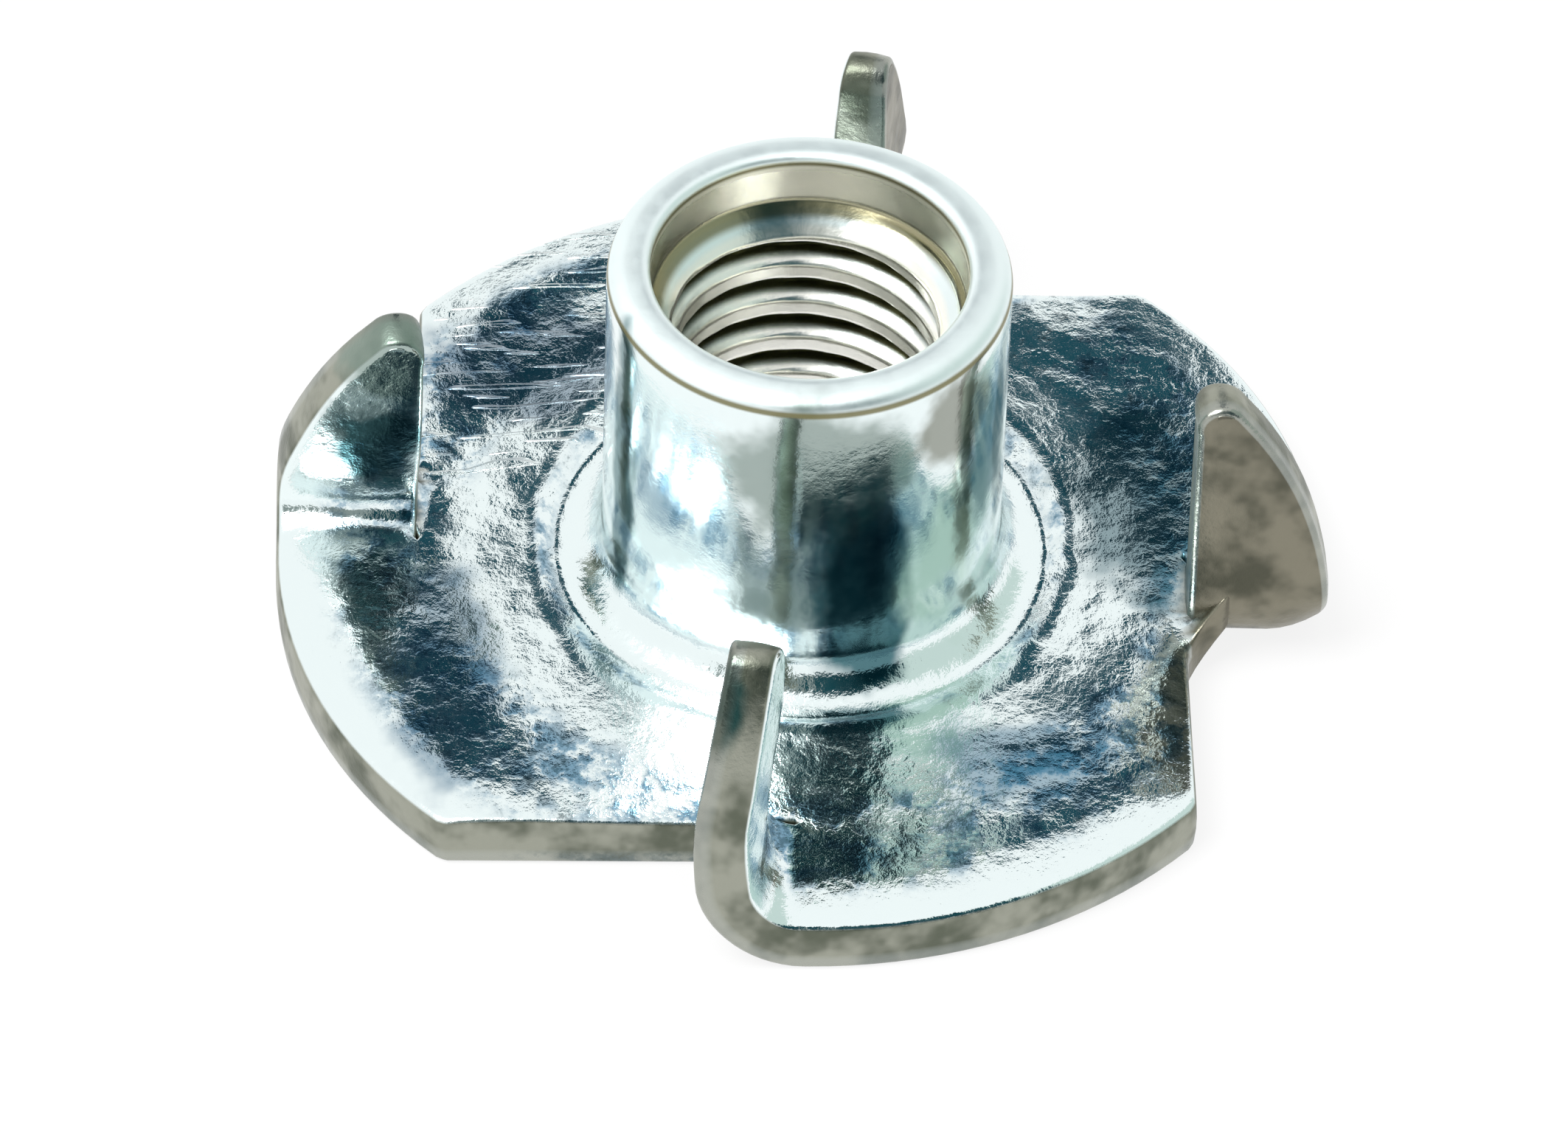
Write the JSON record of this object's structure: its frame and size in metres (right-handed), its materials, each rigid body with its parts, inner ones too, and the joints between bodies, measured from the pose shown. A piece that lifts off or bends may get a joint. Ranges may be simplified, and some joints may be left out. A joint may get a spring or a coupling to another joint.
{
  "type": "four-prong tee nut",
  "caption": "Pressed steel captive nut: round flange with a threaded barrel, straight cuts at its rim and prongs folded up to bite into timber.",
  "frame": {"origin": "on the barrel's axis, in the plane of the flange's underside", "axes": "+Z along the barrel, away from the flange; the straight cuts run along X and Y, and the prong on the -Y side stands just left of the YZ plane"},
  "size_m": [0.017, 0.017, 0.0073],
  "materials": {
    "zinc_plate": "bright zinc plate over cold-rolled steel, softly tumbled"
  },
  "bodies": {
    "root": {"tee_nut": "zinc_plate"}
  },
  "joints": []
}
